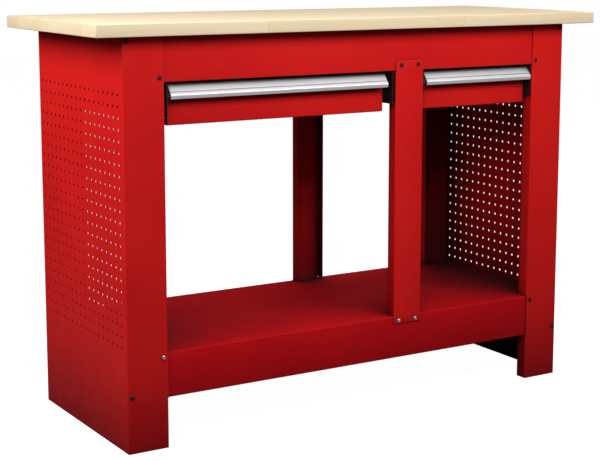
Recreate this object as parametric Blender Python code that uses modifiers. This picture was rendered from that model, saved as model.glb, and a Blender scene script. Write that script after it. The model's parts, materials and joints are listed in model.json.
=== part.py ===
"""Steel workbench with a wooden top, a bottom shelf and two drawers on telescopic slides.

Metres, +Z up, +X along the bench, front facing -Y. The origin is on the floor,
under the middle of the worktop. Every physical piece is its own object.
"""

import math

import bmesh
import bpy
from mathutils import Matrix, Vector

# Overall size
TOTAL_HEIGHT = 0.900
TOP_LENGTH = 1.300
TOP_DEPTH = 0.500
TOP_THICKNESS = 0.0265
FRONT_OVERHANG = 0.0327

# Sheet steel, the air left between neighbouring parts, and how far a notch eats into a fold
SHEET = 0.0015
GAP = 0.0003
BITE = 0.0002

# Cutters: how far they pass an edge, and the length of a hole cutter
CUT_MARGIN = 0.001
HOLE_CUTTER_LENGTH = 0.010

# Angles and tolerance
QUARTER_TURN = math.pi / 2
EIGHTH_TURN = math.pi / 4
MERGE_DISTANCE = 0.00001

# Legs: one folded sheet each
LEG_SPAN = 1.162
LEG_DEPTH = 0.455
LEG_FLANGE = 0.0935
LEG_RETURN = 0.030

# Rails under the worktop
RAIL_HEIGHT = 0.0963
RAIL_TOP_FLANGE = 0.025
RAIL_BOTTOM_FLANGE = 0.020

# Bottom shelf
SHELF_TOP = 0.2082
SHELF_LIP = 0.0987
SHELF_LIP_RETURN = 0.015

# Centre posts, front and rear
POST_X = 0.1284
POST_WIDTH = 0.0762
POST_FLANGE = 0.0260
POST_TOP_DROP = 0.0718
POST_BOTTOM = 0.1911
POST_CHAMFER = 0.004
POST_WEDGE_SIZE = 0.020

# Bolts through the front and rear joints
BOLT_HEAD_RADIUS = 0.0048
BOLT_HEAD_HEIGHT = 0.0026
BOLT_CROWN_RADIUS = 0.0031
BOLT_CROWN_HEIGHT = 0.0022
BOLT_RIM_HEIGHT = 0.0008
BOLT_SHANK_RADIUS = 0.0028
BOLT_HOLE_RADIUS = 0.0031
BOLT_NUT_RADIUS = 0.0046
BOLT_NUT_HEIGHT = 0.004
BOLT_SIDES = 10
BOLT_INNER_INSET = 0.0101
BOLT_OUTER_INSET = 0.0093
BOLT_UPPER_INNER_DROP = 0.0865
BOLT_UPPER_OUTER_DROP = 0.0105
BOLT_LOWER_INNER_Z = 0.1985
BOLT_LOWER_OUTER_Z = 0.123
POST_BOLT_INSET = 0.015
POST_BOLT_UPPER_DROP = 0.083
POST_BOLT_LOWER_Z = 0.198

# Screws up into the worktop
TOP_SCREW_X = 0.350
TOP_SCREW_BACK = 0.0125
TOP_SCREW_LENGTH = 0.018

# Drawers
DRAWER_SETBACK = 0.022
DRAWER_FRONT_DROP = 0.1023
DRAWER_FRONT_HEIGHT = 0.0862
DRAWER_FRONT_DEPTH = 0.018
DRAWER_SHEET = 0.0012
BOX_HEIGHT = 0.070
BOX_BOTTOM_RISE = 0.005
BOX_LENGTH = 0.370

# Handle strip: its reach and height, then its band, nose, lip and the rise of its back wall
HANDLE_REACH = 0.0225
HANDLE_HEIGHT = 0.0319
HANDLE_TOP_DROP = 0.1005
HANDLE_WALL = 0.002
HANDLE_TOP_DEPTH = 0.004
HANDLE_BAND_DEPTH = 0.009
HANDLE_BAND_HEIGHT = 0.006
HANDLE_NOSE_HEIGHT = 0.008
HANDLE_LIP_RETURN = 0.002
HANDLE_BACK_RISE = 0.002

# Runner brackets and telescopic slides
BRACKET_TOP_DROP = 0.0993
BRACKET_BOTTOM_DROP = 0.1709
BRACKET_END_GAP = 0.001
SLIDE_LENGTH = 0.350
SLIDE_SETBACK = 0.005
SLIDE_SHEET = 0.0012
SLIDE_WIDTH = 0.0127
SLIDE_HEIGHT = 0.035
SLIDE_BALL_GAP = 0.0015
SLIDE_FIXED_DEPTH = 0.0095
SLIDE_MIDDLE_START = 0.0018
SLIDE_MIDDLE_DEPTH = 0.0090
SLIDE_INNER_DEPTH = 0.0091

# Derived planes
UNDERSIDE = TOTAL_HEIGHT - TOP_THICKNESS
LEG_FRONT = -TOP_DEPTH / 2 + FRONT_OVERHANG
LEG_REAR = LEG_FRONT + LEG_DEPTH
LEG_OUTER = LEG_SPAN / 2
LEG_INNER = LEG_OUTER - LEG_FLANGE
RAIL_BOTTOM = UNDERSIDE - RAIL_HEIGHT
SHELF_BOTTOM = SHELF_TOP - SHELF_LIP
FRONT_WEB = LEG_FRONT + SHEET + GAP
REAR_WEB = LEG_REAR - SHEET - GAP
SPAN_HALF = LEG_OUTER - SHEET - GAP
POST_LEFT = POST_X - POST_WIDTH / 2
POST_RIGHT = POST_X + POST_WIDTH / 2
DRAWER_PLANE = LEG_FRONT + DRAWER_SETBACK
DRAWER_FRONT_TOP = UNDERSIDE - DRAWER_FRONT_DROP
DRAWER_FRONT_BOTTOM = DRAWER_FRONT_TOP - DRAWER_FRONT_HEIGHT
BOX_FRONT = DRAWER_PLANE + DRAWER_FRONT_DEPTH + GAP
SLIDE_FRONT = BOX_FRONT + SLIDE_SETBACK
SLIDE_MIDDLE_Z = UNDERSIDE - (BRACKET_TOP_DROP + BRACKET_BOTTOM_DROP) / 2

# Each bay: its two side faces, the bracket's depth and the gaps beside the drawer front
BAYS = {
    "left": {"low": -LEG_INNER, "high": POST_LEFT, "bracket": 0.0075,
             "front_gap_low": 0.0150, "front_gap_high": 0.0207, "handle_overhang": 0.0},
    "right": {"low": POST_RIGHT, "high": LEG_INNER, "bracket": 0.0020,
              "front_gap_low": 0.0112, "front_gap_high": 0.0064, "handle_overhang": 0.003},
}

# Principled values: colour, roughness, metallic
FINISHES = {
    "red_paint": ((0.600, 0.012, 0.010, 1.0), 0.40, 0.0),
    "inside_red_paint": ((0.380, 0.008, 0.008, 1.0), 0.45, 0.0),
    "beech_board": ((0.850, 0.700, 0.450, 1.0), 0.50, 0.0),
    "anodised_aluminium": ((0.800, 0.810, 0.820, 1.0), 0.30, 1.0),
    "zinc_plate": ((0.600, 0.610, 0.630, 1.0), 0.35, 1.0),
    "black_steel": ((0.030, 0.028, 0.028, 1.0), 0.40, 0.6),
}


def clear_scene():
    """Remove every object that the file opened with."""
    for old in list(bpy.data.objects):
        bpy.data.objects.remove(old, do_unlink=True)


def new_collection(name):
    """Make a collection in the scene."""
    collection = bpy.data.collections.new(name)
    bpy.context.scene.collection.children.link(collection)
    return collection


def new_material(name, finish):
    """Make one part's Principled material from a named finish."""
    colour, roughness, metallic = FINISHES[finish]
    material = bpy.data.materials.new(name)
    material.use_nodes = True
    shader = material.node_tree.nodes["Principled BSDF"]
    shader.inputs["Base Color"].default_value = colour
    shader.inputs["Roughness"].default_value = roughness
    shader.inputs["Metallic"].default_value = metallic
    return material


def add_object(name, bm, finish, location=(0, 0, 0), parent=None):
    """Turn a bmesh into a named part with its own material, at a world location."""
    mesh = bpy.data.meshes.new(name)
    bm.to_mesh(mesh)
    bm.free()
    mesh.materials.append(new_material(name + "_finish", finish))
    return add_part(name, mesh, location, parent)


def add_part(name, mesh, location=(0, 0, 0), parent=None):
    """Put a mesh in the workbench collection, under an empty where one is given."""
    part = bpy.data.objects.new(name, mesh)
    PARTS.objects.link(part)
    if parent is not None:
        part.parent = parent
        location = Vector(location) - parent.location
    part.location = location
    return part


def add_empty(name, location):
    """Make an empty that stands on a slide's axis."""
    empty = bpy.data.objects.new(name, None)
    PARTS.objects.link(empty)
    empty.location = location
    return empty


def box_into(bm, low, high):
    """Add a box between two corners to a bmesh and return its vertices."""
    low, high = Vector(low), Vector(high)
    size = high - low
    matrix = Matrix.Translation((low + high) / 2) @ Matrix.Diagonal((*size, 1.0))
    return bmesh.ops.create_cube(bm, size=1.0, matrix=matrix)["verts"]


def rod_into(bm, centre, axis, radius, length):
    """Add a cylinder along Y or Z to a bmesh."""
    turn = Matrix.Rotation(QUARTER_TURN, 4, "X") if axis == "Y" else Matrix.Identity(4)
    matrix = Matrix.Translation(centre) @ turn
    bmesh.ops.create_cone(bm, cap_ends=True, segments=BOLT_SIDES, radius1=radius,
                          radius2=radius, depth=length, matrix=matrix)


def wedge_into(bm, corner, side):
    """Add a cube turned 45 degrees about Y that takes off an upper corner."""
    outward = Vector((side, 0.0, 1.0)).normalized()
    centre = Vector(corner) + outward * (POST_WEDGE_SIZE / 2 - POST_CHAMFER * math.cos(EIGHTH_TURN))
    matrix = Matrix.Translation(centre) @ Matrix.Rotation(EIGHTH_TURN, 4, "Y")
    bmesh.ops.create_cube(bm, size=POST_WEDGE_SIZE, matrix=matrix)


def solidify(part, thickness):
    """Give an open surface its sheet thickness, inward from the drawn face."""
    modifier = part.modifiers.new("sheet", "SOLIDIFY")
    modifier.thickness = thickness
    modifier.offset = -1.0
    modifier.use_even_offset = True


def cut(part, boxes=(), rods=(), wedges=()):
    """Cut boxes (low, high), rods (centre, axis, radius, length) or wedges (corner, side) out."""
    bm = bmesh.new()
    for corner, side in wedges:
        wedge_into(bm, corner, side)
    for low, high in boxes:
        box_into(bm, low, high)
    for centre, axis, radius, length in rods:
        rod_into(bm, centre, axis, radius, length)
    mesh = bpy.data.meshes.new(part.name + "_cutter")
    bm.to_mesh(mesh)
    bm.free()
    cutter = bpy.data.objects.new(part.name + "_cutter", mesh)
    CUTTERS.objects.link(cutter)
    cutter.hide_render = True
    cutter.display_type = "WIRE"
    modifier = part.modifiers.new("cut", "BOOLEAN")
    modifier.operation = "DIFFERENCE"
    modifier.solver = "EXACT"
    modifier.object = cutter


def folded_sheet(name, outline, sweep, inside, thickness, finish, location=(0, 0, 0), parent=None):
    """Fold a sheet along an outline, swept by a vector; the thickness goes towards inside."""
    bm = bmesh.new()
    verts = [bm.verts.new(point) for point in outline]
    edges = [bm.edges.new(pair) for pair in zip(verts, verts[1:])]
    swept = bmesh.ops.extrude_edge_only(bm, edges=edges)["geom"]
    moved = [item for item in swept if isinstance(item, bmesh.types.BMVert)]
    bmesh.ops.translate(bm, verts=moved, vec=sweep)
    bmesh.ops.recalc_face_normals(bm, faces=bm.faces)
    bm.normal_update()
    facing = sum(f.normal.dot(f.calc_center_median() - Vector(inside)) * f.calc_area() for f in bm.faces)
    if facing < 0:
        bmesh.ops.reverse_faces(bm, faces=bm.faces)
    part = add_object(name, bm, finish, location, parent)
    solidify(part, thickness)
    return part


def open_box(name, low, high, open_side, thickness, finish, location, parent):
    """Make a sheet box with one open side, named by its outward direction."""
    bm = bmesh.new()
    box_into(bm, low, high)
    bm.normal_update()
    lid = max(bm.faces, key=lambda face: face.normal.dot(Vector(open_side)))
    bmesh.ops.delete(bm, geom=[lid], context="FACES_ONLY")
    part = add_object(name, bm, finish, location, parent)
    solidify(part, thickness)
    return part


def extruded_outline(name, outline, sweep, finish, location, parent):
    """Fill an outline and sweep it into a solid bar."""
    bm = bmesh.new()
    face = bm.faces.new([bm.verts.new(point) for point in outline])
    swept = bmesh.ops.extrude_face_region(bm, geom=[face])["geom"]
    moved = [item for item in swept if isinstance(item, bmesh.types.BMVert)]
    bmesh.ops.translate(bm, verts=moved, vec=sweep)
    bmesh.ops.recalc_face_normals(bm, faces=bm.faces)
    return add_object(name, bm, finish, location, parent)


def bolt_mesh(name, grip, nut_radius, nut_height, finish):
    """Draw half of a domed bolt, head up, with its underside at z = 0, for a Screw modifier."""
    profile = [
        (0.0, BOLT_HEAD_HEIGHT),
        (BOLT_CROWN_RADIUS, BOLT_CROWN_HEIGHT),
        (BOLT_HEAD_RADIUS, BOLT_RIM_HEIGHT),
        (BOLT_HEAD_RADIUS, 0.0),
        (BOLT_SHANK_RADIUS, 0.0),
        (BOLT_SHANK_RADIUS, -grip),
    ]
    if nut_height > 0:
        profile += [(nut_radius, -grip), (nut_radius, -grip - nut_height)]
    profile.append((0.0, -grip - nut_height))
    mesh = bpy.data.meshes.new(name)
    edges = [(index, index + 1) for index in range(len(profile) - 1)]
    mesh.from_pydata([(radius, 0.0, height) for radius, height in profile], edges, [])
    mesh.materials.append(new_material(name + "_finish", finish))
    return mesh


def add_bolt(name, mesh, location, turn):
    """Place a bolt whose head points along the turned +Z."""
    bolt = add_part(name, mesh, location)
    bolt.rotation_euler = (turn, 0.0, 0.0)
    modifier = bolt.modifiers.new("turned", "SCREW")
    modifier.axis = "Z"
    modifier.steps = BOLT_SIDES
    modifier.render_steps = BOLT_SIDES
    modifier.use_merge_vertices = True
    modifier.merge_threshold = MERGE_DISTANCE
    return bolt


def leg_points(side):
    """List the four bolt points of one leg as (label, x, z)."""
    inner = side * (LEG_INNER + BOLT_INNER_INSET)
    outer = side * (LEG_OUTER - BOLT_OUTER_INSET)
    return [
        ("upper_inner", inner, UNDERSIDE - BOLT_UPPER_INNER_DROP),
        ("upper_outer", outer, UNDERSIDE - BOLT_UPPER_OUTER_DROP),
        ("lower_inner", inner, BOLT_LOWER_INNER_Z),
        ("lower_outer", outer, BOLT_LOWER_OUTER_Z),
    ]


def post_points():
    """List the four bolt points of the centre posts as (label, x, z)."""
    reach = POST_WIDTH / 2 - POST_BOLT_INSET
    upper = UNDERSIDE - POST_BOLT_UPPER_DROP
    return [
        ("upper_left", POST_X - reach, upper),
        ("upper_right", POST_X + reach, upper),
        ("lower_left", POST_X - reach, POST_BOLT_LOWER_Z),
        ("lower_right", POST_X + reach, POST_BOLT_LOWER_Z),
    ]


def holes_at(points, y):
    """Turn bolt points on one face into hole cutters through the sheets there."""
    return [((x, y, z), "Y", BOLT_HOLE_RADIUS, HOLE_CUTTER_LENGTH) for _, x, z in points]


def flange_cuts(x, side, front, depth):
    """Boxes that clear a folded return or flange where the rail and the shelf pass it."""
    x_cut = sorted((x + side * (SHEET + BITE), x - side * CUT_MARGIN))
    if front:
        y_cut = (LEG_FRONT + SHEET - BITE, LEG_FRONT + depth + CUT_MARGIN)
    else:
        y_cut = (LEG_REAR - depth - CUT_MARGIN, LEG_REAR - SHEET + BITE)
    levels = [(RAIL_BOTTOM - CUT_MARGIN, UNDERSIDE + CUT_MARGIN),
              (SHELF_BOTTOM - CUT_MARGIN, SHELF_TOP + CUT_MARGIN)]
    return [((x_cut[0], y_cut[0], low), (x_cut[1], y_cut[1], high)) for low, high in levels]


def make_worktop():
    """The wooden board, with blind holes for the screws from below."""
    bm = bmesh.new()
    box_into(bm, (-TOP_LENGTH / 2, -TOP_DEPTH / 2, -TOP_THICKNESS), (TOP_LENGTH / 2, TOP_DEPTH / 2, 0))
    top = add_object("worktop", bm, "beech_board", (0, 0, TOTAL_HEIGHT))
    holes = [((x, y, UNDERSIDE), "Z", BOLT_HOLE_RADIUS, 2 * (TOP_SCREW_LENGTH + CUT_MARGIN))
             for x in (-TOP_SCREW_X, TOP_SCREW_X)
             for y in (FRONT_WEB + TOP_SCREW_BACK, REAR_WEB - TOP_SCREW_BACK)]
    cut(top, rods=holes)


def make_leg(name, side):
    """One leg: side panel to the floor, front and rear flanges and their returns."""
    inner, outer = side * LEG_INNER, side * LEG_OUTER
    outline = [(x - outer, y, 0) for x, y in [
        (inner, LEG_FRONT + LEG_RETURN), (inner, LEG_FRONT), (outer, LEG_FRONT),
        (outer, LEG_REAR), (inner, LEG_REAR), (inner, LEG_REAR - LEG_RETURN)]]
    inside = ((inner - outer) / 2, (LEG_FRONT + LEG_REAR) / 2, UNDERSIDE / 2)
    sweep = (0, 0, UNDERSIDE - GAP)
    leg = folded_sheet(name, outline, sweep, inside, SHEET, "red_paint", (outer, 0, 0))
    notches = flange_cuts(inner, side, True, LEG_RETURN) + flange_cuts(inner, side, False, LEG_RETURN)
    points = leg_points(side)
    cut(leg, notches, holes_at(points, LEG_FRONT) + holes_at(points, LEG_REAR))


def make_rail(name, web, inward):
    """One rail: a channel under the worktop that passes behind the leg flanges."""
    top, bottom = UNDERSIDE - GAP, RAIL_BOTTOM
    outline = [(-SPAN_HALF, inward * RAIL_TOP_FLANGE, top), (-SPAN_HALF, 0, top),
               (-SPAN_HALF, 0, bottom), (-SPAN_HALF, inward * RAIL_BOTTOM_FLANGE, bottom)]
    inside = (0, inward * RAIL_BOTTOM_FLANGE / 2, (top + bottom) / 2)
    sweep = (2 * SPAN_HALF, 0, 0)
    rail = folded_sheet(name, outline, sweep, inside, SHEET, "red_paint", (0, web, 0))
    points = [point for side in (-1, 1) for point in leg_points(side)] + post_points()
    upper = [point for point in points if point[2] > RAIL_BOTTOM]
    screws = [((x, web + inward * TOP_SCREW_BACK, UNDERSIDE), "Z", BOLT_HOLE_RADIUS, HOLE_CUTTER_LENGTH)
              for x in (-TOP_SCREW_X, TOP_SCREW_X)]
    cut(rail, rods=holes_at(upper, web) + screws)


def make_shelf():
    """The bottom shelf: a deck with a deep lip at the front and at the rear."""
    outline = [(-SPAN_HALF, y, z) for y, z in [
        (FRONT_WEB + SHELF_LIP_RETURN, SHELF_BOTTOM), (FRONT_WEB, SHELF_BOTTOM), (FRONT_WEB, SHELF_TOP),
        (REAR_WEB, SHELF_TOP), (REAR_WEB, SHELF_BOTTOM), (REAR_WEB - SHELF_LIP_RETURN, SHELF_BOTTOM)]]
    inside = (0, (FRONT_WEB + REAR_WEB) / 2, (SHELF_BOTTOM + SHELF_TOP) / 2)
    sweep = (2 * SPAN_HALF, 0, 0)
    shelf = folded_sheet("bottom_shelf", outline, sweep, inside, SHEET, "inside_red_paint")
    points = [point for side in (-1, 1) for point in leg_points(side)] + post_points()
    lower = [point for point in points if point[2] < SHELF_TOP]
    cut(shelf, rods=holes_at(lower, FRONT_WEB) + holes_at(lower, REAR_WEB))


def make_post(name, face, inward):
    """One centre post: a channel bolted over the rail and over the shelf's lip."""
    half = POST_WIDTH / 2
    top = UNDERSIDE - POST_TOP_DROP
    outline = [(-half, inward * POST_FLANGE, POST_BOTTOM), (-half, 0, POST_BOTTOM),
               (half, 0, POST_BOTTOM), (half, inward * POST_FLANGE, POST_BOTTOM)]
    inside = (0, inward * POST_FLANGE / 2, (POST_BOTTOM + top) / 2)
    post = folded_sheet(name, outline, (0, 0, top - POST_BOTTOM), inside, SHEET, "red_paint",
                        (POST_X, face, 0))
    is_front = inward > 0
    ends = flange_cuts(POST_LEFT, 1, is_front, POST_FLANGE)
    ends += flange_cuts(POST_RIGHT, -1, is_front, POST_FLANGE)
    cut(post, ends, holes_at(post_points(), face))
    cut(post, wedges=[((POST_X + side * half, face, top), side) for side in (-1, 1)])


def make_bolts():
    """Bolts with their nuts at every front and rear joint, and the worktop's screws."""
    grip = 2 * SHEET + 2 * GAP + GAP
    black = bolt_mesh("black_bolt", grip, BOLT_NUT_RADIUS, BOLT_NUT_HEIGHT, "black_steel")
    zinc = bolt_mesh("zinc_bolt", grip, BOLT_NUT_RADIUS, BOLT_NUT_HEIGHT, "zinc_plate")
    faces = (("front", LEG_FRONT - GAP, QUARTER_TURN), ("rear", LEG_REAR + GAP, -QUARTER_TURN))
    for face_name, face, turn in faces:
        for side_name, side in (("left", -1), ("right", 1)):
            for label, x, z in leg_points(side):
                bright = side_name == "left" and label == "lower_inner"
                add_bolt(f"{face_name}_{side_name}_leg_bolt_{label}", zinc if bright else black,
                         (x, face, z), turn)
        for label, x, z in post_points():
            bright = label.startswith("lower")
            add_bolt(f"{face_name}_post_bolt_{label}", zinc if bright else black, (x, face, z), turn)
    screw = bolt_mesh("worktop_screw", TOP_SCREW_LENGTH, 0.0, 0.0, "zinc_plate")
    under_flange = UNDERSIDE - GAP - SHEET - GAP
    for face_name, y in (("front", FRONT_WEB + TOP_SCREW_BACK), ("rear", REAR_WEB - TOP_SCREW_BACK)):
        for side_name, x in (("left", -TOP_SCREW_X), ("right", TOP_SCREW_X)):
            place = (x, y, under_flange)
            add_bolt(f"{face_name}_worktop_screw_{side_name}", screw, place, 2 * QUARTER_TURN)


def channel(name, wall_x, towards, depth, half_height, parent=None):
    """One slide member: a channel along Y with its web at wall_x, open towards one side."""
    outline = [(towards * depth, 0, half_height), (0, 0, half_height),
               (0, 0, -half_height), (towards * depth, 0, -half_height)]
    inside = (towards * depth / 2, SLIDE_LENGTH / 2, 0)
    folded_sheet(name, outline, (0, SLIDE_LENGTH, 0), inside, SLIDE_SHEET, "zinc_plate",
                 (wall_x, SLIDE_FRONT, SLIDE_MIDDLE_Z), parent)


def make_bracket(name, face, inward, depth):
    """One runner bracket: a shallow channel between the front and rear uprights."""
    start = LEG_FRONT + SHEET + BRACKET_END_GAP
    length = LEG_DEPTH - 2 * (SHEET + BRACKET_END_GAP)
    top = UNDERSIDE - BRACKET_TOP_DROP
    bottom = UNDERSIDE - BRACKET_BOTTOM_DROP
    outline = [(0, start, top), (inward * depth, start, top),
               (inward * depth, start, bottom), (0, start, bottom)]
    inside = (0, start + length / 2, (top + bottom) / 2)
    folded_sheet(name, outline, (0, length, 0), inside, SHEET, "black_steel",
                 (face + inward * GAP, 0, 0))


def make_slide(bay_name, side_name, bracket_face, inward, drawer, middle_parent):
    """One telescopic slide of three nested members between a bracket and the drawer box."""
    prefix = f"{bay_name}_drawer_{side_name}_slide"
    half = SLIDE_HEIGHT / 2
    step = SLIDE_SHEET + SLIDE_BALL_GAP
    channel(prefix + "_fixed", bracket_face + inward * GAP, inward, SLIDE_FIXED_DEPTH, half)
    channel(prefix + "_middle", bracket_face + inward * (GAP + SLIDE_MIDDLE_START), inward,
            SLIDE_MIDDLE_DEPTH, half - step, middle_parent)
    channel(prefix + "_inner", bracket_face + inward * (GAP + SLIDE_WIDTH), -inward,
            SLIDE_INNER_DEPTH, half - 2 * step, drawer)


def make_handle(name, low_x, width, parent):
    """The handle strip: a band, a face sloping out to a nose, and a lip that turns back below it."""
    top = UNDERSIDE - HANDLE_TOP_DROP
    bottom = top - HANDLE_HEIGHT
    band = top - HANDLE_BAND_HEIGHT
    nose = bottom + HANDLE_NOSE_HEIGHT
    lip = -HANDLE_REACH + HANDLE_LIP_RETURN
    wall = HANDLE_WALL
    outline = [
        (-GAP, top), (-HANDLE_TOP_DEPTH, top), (-HANDLE_BAND_DEPTH, band),
        (-HANDLE_REACH, nose), (lip, bottom), (lip + wall, bottom),
        (-HANDLE_REACH + wall, nose), (-HANDLE_BAND_DEPTH + wall / 2, band - wall),
        (-GAP - wall, band - wall), (-GAP - wall, bottom + HANDLE_BACK_RISE),
        (-GAP, bottom + HANDLE_BACK_RISE)]
    points = [(0, y, z - top) for y, z in outline]
    extruded_outline(name, points, (width, 0, 0), "anodised_aluminium",
                     (low_x, DRAWER_PLANE, top), parent)


def make_drawer(bay_name, bay):
    """One drawer with its brackets, slides, sheet box, folded front and handle."""
    low, high, depth = bay["low"], bay["high"], bay["bracket"]
    drawer = add_empty(f"{bay_name}_drawer_axis", ((low + high) / 2, BOX_FRONT, SLIDE_MIDDLE_Z))
    middle = add_empty(f"{bay_name}_slide_axis", ((low + high) / 2, SLIDE_FRONT, SLIDE_MIDDLE_Z))
    for side_name, face, inward in (("left", low, 1), ("right", high, -1)):
        make_bracket(f"{bay_name}_bay_{side_name}_bracket", face, inward, depth)
        make_slide(bay_name, side_name, face + inward * (GAP + depth), inward, drawer, middle)
    inset = 3 * GAP + depth + SLIDE_WIDTH
    bottom = DRAWER_FRONT_BOTTOM + BOX_BOTTOM_RISE
    half = (high - low) / 2 - inset
    open_box(f"{bay_name}_drawer_box", (-half, 0, 0), (half, BOX_LENGTH, BOX_HEIGHT), (0, 0, 1),
             DRAWER_SHEET, "inside_red_paint", ((low + high) / 2, BOX_FRONT, bottom), drawer)
    front_low = low + bay["front_gap_low"]
    width = high - bay["front_gap_high"] - front_low
    size = (width, DRAWER_FRONT_DEPTH, DRAWER_FRONT_HEIGHT)
    open_box(f"{bay_name}_drawer_front", (0, 0, 0), size, (0, 1, 0), DRAWER_SHEET, "red_paint",
             (front_low, DRAWER_PLANE, DRAWER_FRONT_BOTTOM), drawer)
    make_handle(f"{bay_name}_drawer_handle", front_low, width + bay["handle_overhang"], drawer)


clear_scene()
PARTS = new_collection("workbench")
CUTTERS = new_collection("cutters")
make_worktop()
make_leg("left_leg", -1)
make_leg("right_leg", 1)
make_rail("front_rail", FRONT_WEB, 1)
make_rail("rear_rail", REAR_WEB, -1)
make_shelf()
make_post("front_post", LEG_FRONT, 1)
make_post("rear_post", LEG_REAR, -1)
make_bolts()
for bay_key, bay_sizes in BAYS.items():
    make_drawer(bay_key, bay_sizes)
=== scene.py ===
"""The looks of the workbench: rounded folded sheets, real perforations, materials, light and camera."""

import json
import math

import bmesh
import bpy
from mathutils import Matrix, Vector


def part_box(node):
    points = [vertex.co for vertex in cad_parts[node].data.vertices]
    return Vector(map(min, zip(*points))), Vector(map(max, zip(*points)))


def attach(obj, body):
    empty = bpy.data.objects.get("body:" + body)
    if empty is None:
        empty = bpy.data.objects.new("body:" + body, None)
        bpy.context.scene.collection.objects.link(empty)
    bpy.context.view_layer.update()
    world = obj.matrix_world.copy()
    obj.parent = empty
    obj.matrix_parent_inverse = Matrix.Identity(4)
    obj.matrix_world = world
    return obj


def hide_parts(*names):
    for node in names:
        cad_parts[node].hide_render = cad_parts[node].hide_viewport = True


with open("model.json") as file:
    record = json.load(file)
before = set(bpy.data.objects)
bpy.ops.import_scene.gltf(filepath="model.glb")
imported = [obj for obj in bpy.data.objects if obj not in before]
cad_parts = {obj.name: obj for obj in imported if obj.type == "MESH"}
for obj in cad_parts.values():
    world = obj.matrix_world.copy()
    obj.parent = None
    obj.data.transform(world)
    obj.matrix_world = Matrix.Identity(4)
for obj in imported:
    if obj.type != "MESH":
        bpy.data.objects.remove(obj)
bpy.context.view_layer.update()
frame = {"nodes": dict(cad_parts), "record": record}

# Lengths are in metres. Boxes that the frame gives:
top_low, top_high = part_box("worktop")
left_low, left_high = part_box("left_leg")
right_low, right_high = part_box("right_leg")
rail_low, rail_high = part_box("front_rail")
rear_rail_low, rear_rail_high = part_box("rear_rail")
shelf_low, shelf_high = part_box("bottom_shelf")
UNDERSIDE = top_low.z
LEG_FRONT = left_low.y

# Folded sheets
SHEET = 0.0015
BEND = 0.0028
BEND_STEPS = 5
NOTCH_CLEARANCE = 0.001
EDGE_BREAK = 0.00025
EDGE_BREAK_STEPS = 2
BEVEL_ANGLE = math.radians(50)
SHARP_ANGLE = math.radians(32)
SAME_PLACE = 1e-6
LEG_RETURN = 0.030
RAIL_TOP_FLANGE = 0.025
RAIL_LOW_FLANGE = 0.020
SHELF_RETURN = 0.015
POST_CHAMFER = 0.004

# Perforations in the legs' side panels
PITCH = 0.0241
HOLE_COLUMNS = 18
HOLE_ROWS = 23
HOLE_RADIUS = 0.0030
HOLE_SIDES = 16
FIRST_COLUMN_FROM_REAR = 0.0196
TOP_ROW_DROP = 0.1196

# The board and the drawers
BOARD_EDGE = 0.0018
BOARD_EDGE_STEPS = 4
DRAWER_SHEET = 0.0012
DRAWER_BEND = 0.0025
DRAWER_BEND_STEPS = 3

# The handle's section. Depths are measured forwards from the drawer front, heights from the handle's box.
GRIP_WALL = 0.0020
GRIP_CLEARANCE = 0.0002
GRIP_BACK_SETBACK = 0.0003
GRIP_BACK_RISE = 0.002
LEDGE_DEPTH = 0.0037
BAND_DEPTH = 0.0087
BAND_DROP = 0.0062
NOSE_SETBACK = 0.0001
NOSE_HEIGHT = 0.0080
LIP_SETBACK = 0.0021
LIP_HEIGHT = 0.0001
LIP_WIDTH = 0.0018
SMALL_ROUND = 0.0008
BAND_ROUND = 0.0010
NOSE_ROUND = 0.0022
ROUND_STEPS = 5
GRIP_EDGE = 0.00015
# The groove in its sloping face: share of the slope, depth
GROOVE_STEPS = ((0.10, 0.0), (0.58, 0.0), (0.60, 0.0012), (0.65, 0.0012), (0.67, 0.0), (0.88, 0.0))

# Bolts. The head's profile gives shares of its radius and of its height, from the socket outwards.
BOLT_SIDES = 24
SOCKET_REACH = 0.0017
SOCKET_DEPTH = 0.0013
HEAD_HEIGHT = 0.0026
HEAD_PROFILE = ((0.50, 0.0), (0.78, 0.22), (0.95, 0.55), (1.0, 0.85), (1.0, 1.0))
SHANK_SHARE = 0.58
NUT_SHARE = 0.95
NUT_LENGTH = 0.004
HEXAGON_STEP = math.pi / 3

# The Mix node's sockets: factor, two colours, mixed colour
FACTOR_IN, A_IN, B_IN, COLOUR_OUT = 0, 6, 7, 2

# Painted shade: the colours that the finishes are darkened to in recesses
RECESS_SAMPLES = 8
PAINTED_SHADE_RED = (0.034, 0.0015, 0.0060)
PAINTED_DEEP_SHADE = (0.026, 0.014, 0.014)
ALUMINIUM_PAINTED_SHADE = (0.10, 0.09, 0.09)

# The stage
FLOOR_REACH = 12.0
FLOOR_DROP = 0.0005
FLOOR_BOUNCE = (0.22, 0.22, 0.22)
FLOOR_SEEN = (0.30, 0.30, 0.30)
FLOOR_GLOW = 0.985
WHITE = (1.0, 1.0, 1.0, 1.0)
AMBIENT = 0.03
# Softboxes: name, place, target, size, power in watts
SOFTBOXES = (
    ("front_key", (0.1, -1.25, 1.52), (0.1, -0.2, 0.65), (2.3, 0.6), 24.5),
    ("left_key", (-1.75, -0.1, 1.60), (-0.58, 0.0, 0.62), (0.8, 0.9), 29),
    ("overhead", (0.15, 0.25, 2.4), (0.15, 0.1, 0.9), (2.0, 0.8), 10),
    ("high_card", (0.6, -1.0, 2.5), (0.0, -0.25, 0.8), (3.2, 1.6), 8),
    ("back_fill", (0.7, 1.7, 2.5), (0.1, 0.2, 0.6), (2.4, 1.0), 12),
    ("right_fill", (1.9, 0.4, 1.2), (0.58, 0.1, 0.5), (0.8, 0.8), 9),
)

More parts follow.
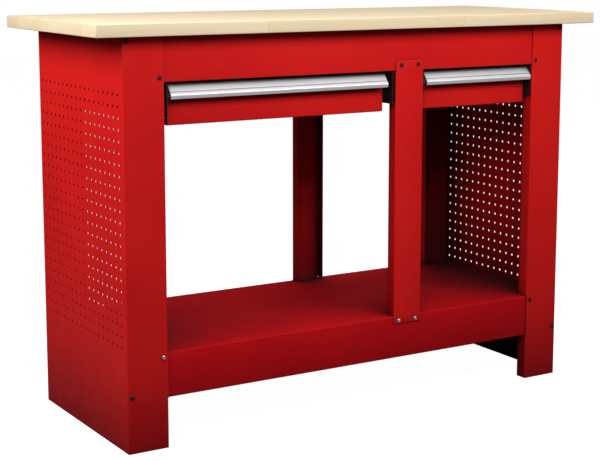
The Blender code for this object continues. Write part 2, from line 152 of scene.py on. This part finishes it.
# The camera. Angles are in radians, its lens and sensor in millimetres.
CAMERA_YAW = 0.5562
CAMERA_PITCH = -0.1535
CAMERA_ROLL = 0.0018
CAMERA_X = -1.790
CAMERA_DISTANCE = 2.6796
CAMERA_HEIGHT = 1.0373
CAMERA_LENS = 87.11
SENSOR_WIDTH = 36.0
SHIFT_X = -0.0251
SHIFT_Y = -0.0864
CLIP_END = 100.0


# ---------------------------------------------------------------- mesh making

def rounded_path(corners, splits):
    """Replace a polyline's corners with bends.

    Returns the points, and for each strip between two of them its run's number, or -1 - i in bend i.
    """
    points = [Vector(corner) for corner in corners]
    samples, runs = [], []
    last = len(points) - 2
    for run in range(last + 1):
        start, end = points[run], points[run + 1]
        along = (end - start).normalized()
        first = start if run == 0 else start + along * BEND
        final = end if run == last else end - along * BEND
        marks = [start + along * distance for distance in (splits or {}).get(run, ())]
        line = [first] + marks + [final]
        samples += line
        runs += [run] * (len(line) - 1)
        if run < last:
            turn = (points[run + 2] - end).normalized()
            centre = final + turn * BEND
            out = final - centre
            for step in range(1, BEND_STEPS):
                angle = math.pi / 2 * step / BEND_STEPS
                samples.append(centre + out * math.cos(angle) + along * BEND * math.sin(angle))
            runs += [-1 - run] * BEND_STEPS
    return samples, runs


def fold(name, corners, stations, place, inside, splits=None, notches=(), trims=(), holes=None):
    """Make one folded sheet: a rounded outline swept through its stations, with notched end flanges.

    place(point, station) gives the world point. inside is a point on the folds' inner side. splits are
    the extra points of a run, as distances along it. notches are (low, high) stretches where the end
    flanges are cut away. trims are planes (point, normal) that cut away what lies beyond them. holes
    has the run, columns and rows of the perforations.
    """
    samples, runs = rounded_path(corners, splits)
    last_run = len(corners) - 2
    end_flanges = (0, -1, last_run, -last_run)
    stations = sorted(set(stations) | {edge for notch in notches for edge in notch})
    bm = bmesh.new()
    grid = {}

    def at(k, j):
        if (k, j) not in grid:
            grid[k, j] = bm.verts.new(place(samples[k], stations[j]))
        return grid[k, j]

    def corner_at(end, j):
        if (end, j) not in grid:
            corner = Vector(corners[1] if end == "first" else corners[-2])
            grid[end, j] = bm.verts.new(place(corner, stations[j]))
        return grid[end, j]

    def is_perforated(k, j, run):
        return (holes and run == holes["run"] and k in holes["columns"](samples)
                and j in holes["rows"](stations))

    first_flat = runs.index(1)
    final_flat = max(k for k, run in enumerate(runs) if run == last_run - 1) + 1
    for j in range(len(stations) - 1):
        low, high = stations[j], stations[j + 1]
        middle = (low + high) / 2
        notched = any(a < middle < b for a, b in notches)
        for k, run in enumerate(runs):
            if notched and run in end_flanges:
                continue
            quad = [at(k, j), at(k + 1, j), at(k + 1, j + 1), at(k, j + 1)]
            if is_perforated(k, j, run):
                punch(bm, quad, samples[k], samples[k + 1], middle, place)
            else:
                bm.faces.new(quad)
        if notched:
            for end, k in (("first", first_flat), ("final", final_flat)):
                bm.faces.new([corner_at(end, j), at(k, j), at(k, j + 1), corner_at(end, j + 1)])
    for point, normal in trims:
        geometry = bm.verts[:] + bm.edges[:] + bm.faces[:]
        bmesh.ops.bisect_plane(bm, geom=geometry, plane_co=point, plane_no=normal, clear_outer=True)
    bmesh.ops.recalc_face_normals(bm, faces=bm.faces)
    bm.normal_update()
    centre = Vector(inside)
    facing = 0.0
    for face in bm.faces:
        facing += face.normal.dot(face.calc_center_median() - centre) * face.calc_area()
    if facing < 0:
        bmesh.ops.reverse_faces(bm, faces=bm.faces)
    return sheet_from(name, bm, SHEET)


def punch(bm, quad, a, b, height, place):
    """Fill a grid cell with faces around a round hole. Each corner of the cell serves a quarter of it."""
    middle = (a + b) / 2
    along = (b - a).normalized()
    ring = []
    for step in range(HOLE_SIDES):
        angle = math.tau * (step + 0.5) / HOLE_SIDES
        point = middle + along * HOLE_RADIUS * math.cos(angle)
        ring.append(bm.verts.new(place(point, height + HOLE_RADIUS * math.sin(angle))))
    quarter = HOLE_SIDES // 4
    for index, corner in enumerate(quad):
        first = (index + 2) * quarter
        arc = [ring[(first + step) % HOLE_SIDES] for step in range(quarter + 1)]
        for step in range(quarter - 1):
            bm.faces.new([corner, arc[step + 1], arc[step]])
        bm.faces.new([corner, quad[(index + 1) % 4], arc[quarter], arc[quarter - 1]])


def sheet_from(name, bm, thickness):
    """Turn an open surface into a sheet piece of its thickness."""
    piece = piece_from(name, bm)
    modifier = piece.modifiers.new("sheet", "SOLIDIFY")
    modifier.thickness = thickness
    modifier.offset = -1.0
    modifier.use_even_offset = True
    return piece


def piece_from(name, bm):
    """Turn a bmesh into an object in the scene."""
    mesh = bpy.data.meshes.new(name)
    bm.to_mesh(mesh)
    bm.free()
    piece = bpy.data.objects.new(name, mesh)
    bpy.context.scene.collection.objects.link(piece)
    return piece


def soften(piece, width=EDGE_BREAK, steps=EDGE_BREAK_STEPS):
    """Break the sharp edges of a piece with a small bevel."""
    modifier = piece.modifiers.new("edge_break", "BEVEL")
    modifier.width = width
    modifier.segments = steps
    modifier.limit_method = "ANGLE"
    modifier.angle_limit = BEVEL_ANGLE
    modifier.harden_normals = False
    return piece


def settle(piece, material, body, node):
    """Apply the modifiers, shade, give the material and put the piece in its node's place."""
    bpy.context.view_layer.update()
    mesh = bpy.data.meshes.new_from_object(piece.evaluated_get(bpy.context.evaluated_depsgraph_get()))
    piece.modifiers.clear()
    piece.data = mesh
    mesh.shade_smooth()
    mesh.set_sharp_from_angle(angle=SHARP_ANGLE)
    mesh.materials.clear()
    mesh.materials.append(material)
    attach(piece, body)
    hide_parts(node)


def upright(point, station):
    """Place a plan outline's point at a height."""
    return (point[0], point[1], station)


def along_x(point, station):
    """Place a section outline's point (y, z) at an x."""
    return (station, point[0], point[1])


def block(low, high):
    """A bmesh of a plain box."""
    bm = bmesh.new()
    matrix = Matrix.Translation((low + high) / 2) @ Matrix.Diagonal((*(high - low), 1.0))
    bmesh.ops.create_cube(bm, size=1.0, matrix=matrix)
    return bm


# ---------------------------------------------------------------- materials

class Shader:
    """A Principled material with its nodes within reach."""

    def __init__(self, name, colour, roughness, metallic=0.0, specular=0.5):
        self.material = bpy.data.materials.new(name)
        self.material.use_nodes = True
        self.nodes = self.material.node_tree.nodes
        self.links = self.material.node_tree.links
        self.shader = self.nodes["Principled BSDF"]
        self.set("Base Color", (*colour, 1.0))
        self.set("Roughness", roughness)
        self.set("Metallic", metallic)
        self.set("Specular IOR Level", specular)
        self.coordinates = self.nodes.new("ShaderNodeTexCoord").outputs["Object"]

    def set(self, socket, value):
        self.shader.inputs[socket].default_value = value

    def drive(self, socket, value):
        self.links.new(value, self.shader.inputs[socket])

    def add(self, kind, **values):
        """A new node of a kind, with values on its inputs. An underscore stands for a space."""
        node = self.nodes.new(kind)
        for socket, value in values.items():
            node.inputs[socket.replace("_", " ")].default_value = value
        return node

    def stretched(self, scale):
        """The object's coordinates, scaled along each axis."""
        mapping = self.add("ShaderNodeMapping", Scale=scale)
        self.links.new(self.coordinates, mapping.inputs["Vector"])
        return mapping.outputs["Vector"]

    def noise(self, scale, detail=2.0, roughness=0.5, vector=None):
        """A noise pattern's value, from 0 to 1."""
        node = self.add("ShaderNodeTexNoise", Scale=scale, Detail=detail, Roughness=roughness)
        self.links.new(vector or self.coordinates, node.inputs["Vector"])
        return node.outputs["Fac"]

    def streaks(self, scale, detail, roughness=0.5):
        """A noise pattern that is stretched along one or more axes."""
        return self.noise(1.0, detail, roughness, self.stretched(scale))

    def recess(self, reach):
        """How open the surface is to its surroundings within a reach: 1 in the open, 0 when enclosed."""
        node = self.add("ShaderNodeAmbientOcclusion", Distance=reach)
        node.samples = RECESS_SAMPLES
        return node.outputs["AO"]

    def spread(self, value, low, high, start=0.3, end=0.7):
        """Map a pattern's range start..end to low..high."""
        node = self.add("ShaderNodeMapRange", From_Min=start, From_Max=end, To_Min=low, To_Max=high)
        self.links.new(value, node.inputs["Value"])
        return node.outputs["Result"]

    def blend(self, factor, colour_a, colour_b):
        """Mix two colours, each a tuple or a socket, by a factor that is a socket."""
        node = self.nodes.new("ShaderNodeMix")
        node.data_type = "RGBA"
        for index, value in ((FACTOR_IN, factor), (A_IN, colour_a), (B_IN, colour_b)):
            if isinstance(value, bpy.types.NodeSocket):
                self.links.new(value, node.inputs[index])
            else:
                node.inputs[index].default_value = (*value, 1.0)
        return node.outputs[COLOUR_OUT]

    def bump(self, height, strength, distance, normal=None):
        """A bump from a height pattern, on top of another bump where one is given."""
        node = self.add("ShaderNodeBump", Strength=strength, Distance=distance)
        self.links.new(height, node.inputs["Height"])
        if normal is not None:
            self.links.new(normal, node.inputs["Normal"])
        return node.outputs["Normal"]


def red_paint(name, light, dark, roughness, reach=0.36, deep=0.32, open_air=0.80, specular=0.05):
    """Satin powder coat: fine orange peel, faint mottling, an uneven gloss, and painted shade that
    darkens it in recesses.

    reach is how far away a neighbour still adds to the painted shade. The painted shade is strongest
    where the surface is only as open as deep, and gone from open_air on.
    """
    paint = Shader(name, light, roughness, specular=specular)
    mottling = paint.spread(paint.noise(scale=4.0, detail=3.0), 0.0, 1.0)
    colour = paint.blend(mottling, light, dark)
    flecks = paint.spread(paint.noise(scale=700.0, detail=1.0), 0.0, 0.10, start=0.45, end=0.75)
    colour = paint.blend(flecks, colour, dark)
    # Painted shade: where neighbours close in, the colour is darkened towards a dark red and, deeper in,
    # a dark brown.
    openness = paint.recess(reach)
    painted_shade_amount = paint.spread(openness, 0.93, 0.0, start=deep, end=open_air)
    deep_shade_amount = paint.spread(openness, 1.0, 0.0, start=0.20, end=0.42)
    paint.drive("Base Color", paint.blend(painted_shade_amount, colour, paint.blend(deep_shade_amount, PAINTED_SHADE_RED, PAINTED_DEEP_SHADE)))
    gloss = paint.noise(scale=26.0, detail=4.0)
    paint.drive("Roughness", paint.spread(gloss, roughness - 0.05, roughness + 0.07))
    peel = paint.bump(paint.noise(scale=420.0), strength=0.16, distance=0.00025)
    waves = paint.bump(paint.noise(scale=60.0), strength=0.05, distance=0.0006, normal=peel)
    paint.drive("Normal", waves)
    return paint.material


def board_wood(name):
    """Pale beech staves with long grain and short rays, under a satin lacquer."""
    wood = Shader(name, (0.86, 0.72, 0.48), 0.42, specular=0.35)
    staves = wood.add("ShaderNodeTexBrick", Scale=1.0, Brick_Width=0.52, Row_Height=0.044,
                      Mortar_Size=0.00035, Mortar_Smooth=0.3, Bias=0.0,
                      Color1=(0.810, 0.680, 0.465, 1.0), Color2=(0.760, 0.620, 0.405, 1.0),
                      Mortar=(0.590, 0.440, 0.265, 1.0))
    wood.links.new(wood.coordinates, staves.inputs["Vector"])
    grain = wood.streaks((5.0, 160.0, 160.0), detail=4.0, roughness=0.6)
    colour = wood.blend(wood.spread(grain, 0.0, 0.34), staves.outputs["Color"], (0.630, 0.470, 0.280))
    rays = wood.streaks((130.0, 900.0, 900.0), detail=1.0)
    ray_tone = wood.spread(rays, 0.0, 0.22, start=0.58, end=0.72)
    colour = wood.blend(ray_tone, colour, (0.560, 0.370, 0.200))
    wood.drive("Base Color", colour)
    wood.drive("Roughness", wood.spread(grain, 0.38, 0.50))
    pores = wood.bump(grain, strength=0.08, distance=0.0003)
    wood.drive("Normal", wood.bump(rays, strength=0.10, distance=0.0002, normal=pores))
    return wood.material


def brushed_aluminium(name):
    """Satin anodised extrusion with fine drawn lines along its length, with shade painted darker where it
    is recessed.
    """
    metal = Shader(name, (0.700, 0.700, 0.715), 0.45, metallic=0.50)
    lines = metal.streaks((3.0, 1500.0, 1500.0), detail=3.0, roughness=0.6)
    colour = metal.blend(metal.spread(lines, 0.0, 1.0), (0.79, 0.78, 0.80), (0.69, 0.68, 0.70))
    # Painted shade: the colour darkens towards a dark grey where neighbours close in, as under the rail.
    metal_shade_amount = metal.spread(metal.recess(reach=0.03), 0.85, 0.0, start=0.45, end=0.86)
    metal.drive("Base Color", metal.blend(metal_shade_amount, colour, ALUMINIUM_PAINTED_SHADE))
    metal.drive("Roughness", metal.spread(lines, 0.38, 0.50))
    metal.drive("Normal", metal.bump(lines, strength=0.12, distance=0.0002))
    return metal.material


def zinc_plate(name):
    """Bright zinc with faint clouding and fine rolling lines."""
    metal = Shader(name, (0.62, 0.63, 0.65), 0.34, metallic=1.0)
    cloud = metal.noise(scale=30.0, detail=4.0)
    colour = metal.blend(metal.spread(cloud, 0.0, 1.0), (0.70, 0.71, 0.73), (0.50, 0.51, 0.54))
    metal.drive("Base Color", colour)
    metal.drive("Roughness", metal.spread(cloud, 0.26, 0.44))
    lines = metal.streaks((1200.0, 8.0, 1200.0), detail=2.0)
    metal.drive("Normal", metal.bump(lines, strength=0.06, distance=0.0002))
    return metal.material


def black_oxide(name):
    """Blackened steel of the bolt heads and the brackets; on the brackets the black also paints the shade
    in the drawer gaps.
    """
    metal = Shader(name, (0.022, 0.010, 0.009), 0.55, metallic=0.3)
    cloud = metal.noise(scale=500.0, detail=3.0)
    colour = metal.blend(metal.spread(cloud, 0.0, 1.0), (0.034, 0.012, 0.011), (0.012, 0.006, 0.006))
    metal.drive("Base Color", colour)
    metal.drive("Roughness", metal.spread(cloud, 0.50, 0.68))
    metal.drive("Normal", metal.bump(cloud, strength=0.08, distance=0.0002))
    return metal.material


RED = red_paint("red_powder_coat", (0.660, 0.0135, 0.0115), (0.580, 0.0100, 0.0105), 0.46)
# A darker copy of the red paint for the drawer trays: painted shade for their insides.
SHADED_TRAY_RED = red_paint("tray_red_coat_painted_shade", (0.360, 0.0070, 0.0080), (0.300, 0.0055, 0.0065), 0.50)
# A darker copy of the red paint for the shelf: its darker colour and wide recess reach paint the shade
# under the worktop; its higher roughness is the coat's own.
SHADED_SHELF_RED = red_paint("shelf_red_coat_painted_shade", (0.590, 0.0070, 0.0100), (0.510, 0.0055, 0.0090), 0.60,
                      reach=0.70, deep=0.22, open_air=0.70, specular=0.03)
WOOD = board_wood("beech_board")
ALUMINIUM = brushed_aluminium("satin_aluminium")
ZINC = zinc_plate("zinc_plate")
BLACK = black_oxide("black_oxide")


# ---------------------------------------------------------------- pieces

def make_worktop():
    """The wooden board with softly rounded edges."""
    board = soften(piece_from("worktop_board", block(top_low, top_high)), BOARD_EDGE, BOARD_EDGE_STEPS)
    settle(board, WOOD, "root", "worktop")


def cells_between(values, lines):
    """The indexes of the cells of a row of values that lie between two neighbouring grid lines."""
    def matches(value, some):
        return any(abs(value - line) < SAME_PLACE for line in some)

    return [index for index in range(len(values) - 1)
            if matches(values[index], lines[:-1]) and matches(values[index + 1], lines[1:])]


def make_leg(name, low, high, outer_is_low):
    """One perforated leg: side panel, flanges and returns folded from one sheet."""
    outer, inner = (low.x, high.x) if outer_is_low else (high.x, low.x)
    corners = [(inner, low.y + LEG_RETURN), (inner, low.y), (outer, low.y),
               (outer, high.y), (inner, high.y), (inner, high.y - LEG_RETURN)]
    rear_edge = high.y - low.y - FIRST_COLUMN_FROM_REAR + PITCH / 2
    lines = [rear_edge - PITCH * (HOLE_COLUMNS - index) for index in range(HOLE_COLUMNS + 1)]
    wanted = [low.y + line for line in lines]
    top_edge = UNDERSIDE - TOP_ROW_DROP + PITCH / 2
    rows = [top_edge - PITCH * (HOLE_ROWS - index) for index in range(HOLE_ROWS + 1)]
    notches = [(shelf_low.z - NOTCH_CLEARANCE, shelf_high.z + NOTCH_CLEARANCE),
               (rail_low.z - NOTCH_CLEARANCE, high.z)]
    inside = ((outer + inner) / 2, (low.y + high.y) / 2, (low.z + high.z) / 2)
    side_panel = 2
    holes = {"run": side_panel,
             "columns": lambda samples: cells_between([sample.y for sample in samples], wanted),
             "rows": lambda stations: cells_between(stations, rows)}
    leg = fold(name + "_perforated", corners, [low.z, high.z] + rows, upright, inside,
               {side_panel: lines}, notches, holes=holes)
    settle(leg, RED, "root", name)


def make_rail(name, low, high, inward):
    """One rail channel under the worktop."""
    web = low.y if inward > 0 else high.y
    corners = [(web + inward * RAIL_TOP_FLANGE, high.z), (web, high.z),
               (web, low.z), (web + inward * RAIL_LOW_FLANGE, low.z)]
    inside = (0.0, web + inward * RAIL_LOW_FLANGE / 2, (low.z + high.z) / 2)
    rail = fold(name + "_folded", corners, [low.x, high.x], along_x, inside)
    settle(soften(rail), RED, "root", name)


def make_shelf():
    """The bottom shelf with its front and rear lips."""
    low, high = shelf_low, shelf_high
    corners = [(low.y + SHELF_RETURN, low.z), (low.y, low.z), (low.y, high.z),
               (high.y, high.z), (high.y, low.z), (high.y - SHELF_RETURN, low.z)]
    inside = (0.0, (low.y + high.y) / 2, (low.z + high.z) / 2)
    shelf = fold("bottom_shelf_folded", corners, [low.x, high.x], along_x, inside)
    settle(soften(shelf), SHADED_SHELF_RED, "root", "bottom_shelf")


def make_post(name, inward):
    """One centre post: a channel with its flanges cut back at the rail and at the shelf."""
    low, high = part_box(name)
    face, back = (low.y, high.y) if inward > 0 else (high.y, low.y)
    corners = [(low.x, back), (low.x, face), (high.x, face), (high.x, back)]
    inside = ((low.x + high.x) / 2, (face + back) / 2, (low.z + high.z) / 2)
    notches = [(low.z, shelf_high.z + NOTCH_CLEARANCE), (rail_low.z - NOTCH_CLEARANCE, high.z)]
    trims = [((x, face, high.z - POST_CHAMFER), (side, 0, 1)) for x, side in ((low.x, -1), (high.x, 1))]
    post = fold(name + "_folded", corners, [low.z, high.z], upright, inside, notches=notches, trims=trims)
    settle(soften(post), RED, "root", name)


def drawer_sheet(name, node, open_side):
    """A sheet piece in a node's box: rounded edges and one side missing."""
    bm = block(*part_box(node))
    bm.normal_update()
    lid = max(bm.faces, key=lambda face: face.normal.dot(Vector(open_side)))
    bmesh.ops.delete(bm, geom=[lid], context="FACES_ONLY")
    edges = [edge for edge in bm.edges if len(edge.link_faces) == 2]
    bmesh.ops.bevel(bm, geom=edges, offset=DRAWER_BEND, offset_type="OFFSET", segments=DRAWER_BEND_STEPS,
                    profile=0.5, affect="EDGES", clamp_overlap=True)
    return soften(sheet_from(name, bm, DRAWER_SHEET))


def make_drawer(bay):
    """One drawer: its folded front, its sheet box and its handle strip."""
    body = bay + "_drawer"
    front = drawer_sheet(body + "_front_panel", body + "_front", (0, 1, 0))
    settle(front, RED, body, body + "_front")
    tray = drawer_sheet(body + "_tray", body + "_box", (0, 0, 1))
    settle(tray, SHADED_TRAY_RED, body, body + "_box")
    make_handle(body)


def blunt(before, corner, after, reach):
    """Points on a curve that rounds a corner off, from reach before it to reach after it."""
    start = corner + (before - corner).normalized() * reach
    end = corner + (after - corner).normalized() * reach
    shares = [step / ROUND_STEPS for step in range(ROUND_STEPS + 1)]
    return [start * (1 - t) ** 2 + corner * 2 * t * (1 - t) + end * t ** 2 for t in shares]


def grip_outline(low, high):
    """The handle's section in (y, z): a band, a grooved slope, a nose, and a lip turned back."""
    plane, tip, top, bottom = high.y, low.y, high.z, low.z
    start = Vector((plane - GRIP_CLEARANCE, top))
    ledge = Vector((plane - LEDGE_DEPTH, top))
    band = Vector((plane - BAND_DEPTH, top - BAND_DROP))
    nose = Vector((tip + NOSE_SETBACK, bottom + NOSE_HEIGHT))
    lip = Vector((tip + LIP_SETBACK, bottom + LIP_HEIGHT))
    inner_lip = lip + Vector((LIP_WIDTH, 0.0))
    inner_nose = nose + Vector((GRIP_WALL, 0.0))
    inner_top = band.y - GRIP_WALL
    back = plane - GRIP_WALL - GRIP_BACK_SETBACK
    slope = (nose - band).normalized()
    out = Vector((slope.y, -slope.x))
    groove = [band + slope * (nose - band).length * share - out * depth for share, depth in GROOVE_STEPS]
    return ([start]
            + blunt(start, ledge, band, SMALL_ROUND)
            + blunt(ledge, band, nose, BAND_ROUND)
            + groove
            + blunt(band, nose, lip, NOSE_ROUND)
            + blunt(nose, lip, inner_lip, SMALL_ROUND)
            + blunt(lip, inner_lip, inner_nose, SMALL_ROUND)
            + [inner_nose, Vector((band.x + GRIP_WALL / 2, inner_top)), Vector((back, inner_top)),
               Vector((back, bottom + GRIP_BACK_RISE)),
               Vector((plane - GRIP_CLEARANCE, bottom + GRIP_BACK_RISE))])


def make_handle(body):
    """The extruded grip along the drawer front's upper edge."""
    low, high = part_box(body + "_handle")
    bm = bmesh.new()
    face = bm.faces.new([bm.verts.new((low.x, y, z)) for y, z in grip_outline(low, high)])
    swept = bmesh.ops.extrude_face_region(bm, geom=[face])["geom"]
    moved = [item for item in swept if isinstance(item, bmesh.types.BMVert)]
    bmesh.ops.translate(bm, verts=moved, vec=(high.x - low.x, 0, 0))
    bmesh.ops.recalc_face_normals(bm, faces=bm.faces)
    handle = soften(piece_from(body + "_grip_strip", bm), GRIP_EDGE, 1)
    settle(handle, ALUMINIUM, body, body + "_handle")


def hexagon(angle):
    """How far a hexagon's edge lies from its centre at an angle, when its flats are 1 away."""
    return 1 / math.cos((angle + HEXAGON_STEP / 2) % HEXAGON_STEP - HEXAGON_STEP / 2)


def make_bolt(node, material):
    """A button-head bolt with a hexagon socket, its shank and its nut."""
    low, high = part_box(node)
    centre = (low + high) / 2
    head_y, inward = (low.y, 1) if centre.y < 0 else (high.y, -1)
    radius = (high.x - low.x) / 2
    length = high.y - low.y
    socket = [(SOCKET_REACH, SOCKET_DEPTH), (SOCKET_REACH, 0.0)]
    head = [(radius * share, HEAD_HEIGHT * drop) for share, drop in HEAD_PROFILE]
    shank = [(radius * SHANK_SHARE, HEAD_HEIGHT), (radius * SHANK_SHARE, length - NUT_LENGTH)]
    nut = [(radius * NUT_SHARE, length - NUT_LENGTH), (radius * NUT_SHARE, length)]
    bm = bmesh.new()
    loops = []
    for ring, (reach, depth) in enumerate(socket + head + shank + nut):
        loop = []
        for step in range(BOLT_SIDES):
            angle = math.tau * step / BOLT_SIDES
            out = reach * hexagon(angle) if ring < len(socket) else reach
            loop.append(bm.verts.new((centre.x + out * math.cos(angle), head_y + inward * depth,
                                      centre.z + out * math.sin(angle))))
        loops.append(loop)
    for first, second in zip(loops, loops[1:]):
        for step in range(BOLT_SIDES):
            after = (step + 1) % BOLT_SIDES
            bm.faces.new([first[step], first[after], second[after], second[step]])
    bm.faces.new(loops[0])
    bm.faces.new(loops[-1])
    bmesh.ops.recalc_face_normals(bm, faces=bm.faces)
    settle(piece_from(node + "_socket_head", bm), material, "root", node)


def repaint(node, material):
    """Keep a node's own solid as it is and give it a material."""
    node.data.materials.clear()
    node.data.materials.append(material)


make_worktop()
make_leg("left_leg", left_low, left_high, True)
make_leg("right_leg", right_low, right_high, False)
make_rail("front_rail", rail_low, rail_high, 1)
make_rail("rear_rail", rear_rail_low, rear_rail_high, -1)
make_shelf()
make_post("front_post", 1)
make_post("rear_post", -1)
for bay_name in ("left", "right"):
    make_drawer(bay_name)
slots = {row["node"]: row["material_slot"] for row in frame["record"]["subparts"]}
for node_name, node in sorted(frame["nodes"].items()):
    if "_bolt_" in node_name:
        bright = slots[node_name] == "zinc_steel"
        make_bolt(node_name, ZINC if bright else BLACK)
    elif "slide" in node_name or "screw" in node_name:
        repaint(node, ZINC)
    # The brackets get the black oxide; in the drawer gaps this black also stands in for painted shade.
    elif "bracket" in node_name:
        repaint(node, BLACK)


# ---------------------------------------------------------------- stage, light, camera

def make_floor():
    """A plain pale floor: near white to the camera, a softer grey to everything else."""
    bm = bmesh.new()
    bmesh.ops.create_grid(bm, x_segments=1, y_segments=1, size=FLOOR_REACH)
    floor = piece_from("studio_floor", bm)
    floor.location.z = -FLOOR_DROP
    paint = Shader("pale_floor", (0.90, 0.90, 0.90), 0.8, specular=0.0)
    seen = paint.nodes.new("ShaderNodeLightPath").outputs["Is Camera Ray"]
    paint.drive("Base Color", paint.blend(seen, FLOOR_BOUNCE, FLOOR_SEEN))
    paint.set("Emission Color", WHITE)
    paint.drive("Emission Strength", paint.spread(seen, 0.0, FLOOR_GLOW, start=0.0, end=1.0))
    floor.data.materials.append(paint.material)


def make_light(name, place, target, size, power):
    """A rectangular softbox aimed at a point."""
    data = bpy.data.lights.new(name, "AREA")
    data.shape = "RECTANGLE"
    data.size, data.size_y = size
    data.energy = power
    light = bpy.data.objects.new(name, data)
    light.location = place
    light.rotation_euler = (Vector(target) - Vector(place)).to_track_quat("-Z", "Y").to_euler()
    bpy.context.scene.collection.objects.link(light)


def make_world():
    """White to the camera and a faint white to everything else."""
    world = bpy.data.worlds.new("studio")
    world.use_nodes = True
    nodes, links = world.node_tree.nodes, world.node_tree.links
    background = nodes["Background"]
    background.inputs["Color"].default_value = WHITE
    path = nodes.new("ShaderNodeLightPath")
    level = nodes.new("ShaderNodeMapRange")
    level.inputs["To Min"].default_value = AMBIENT
    level.inputs["To Max"].default_value = 1.0
    links.new(path.outputs["Is Camera Ray"], level.inputs["Value"])
    links.new(level.outputs["Result"], background.inputs["Strength"])
    bpy.context.scene.world = world


def make_camera():
    """The camera, to the left of the bench's front and a little above its top."""
    level = math.cos(CAMERA_PITCH)
    forward = Vector((math.sin(CAMERA_YAW) * level, math.cos(CAMERA_YAW) * level, math.sin(CAMERA_PITCH)))
    flat_right = Vector((math.cos(CAMERA_YAW), -math.sin(CAMERA_YAW), 0.0))
    flat_up = flat_right.cross(forward)
    right = flat_right * math.cos(CAMERA_ROLL) + flat_up * math.sin(CAMERA_ROLL)
    up = flat_up * math.cos(CAMERA_ROLL) - flat_right * math.sin(CAMERA_ROLL)
    matrix = Matrix((right, up, -forward)).transposed().to_4x4()
    matrix.translation = Vector((CAMERA_X, LEG_FRONT - CAMERA_DISTANCE, CAMERA_HEIGHT))
    data = bpy.data.cameras.new("camera")
    data.sensor_fit = "HORIZONTAL"
    data.sensor_width = SENSOR_WIDTH
    data.lens = CAMERA_LENS
    data.shift_x = SHIFT_X
    data.shift_y = SHIFT_Y
    data.clip_end = CLIP_END
    camera = bpy.data.objects.new("camera", data)
    camera.matrix_world = matrix
    bpy.context.scene.collection.objects.link(camera)
    bpy.context.scene.camera = camera


make_floor()
make_world()
for softbox in SOFTBOXES:
    make_light(*softbox)
make_camera()
bpy.context.scene.view_settings.view_transform = "Standard"
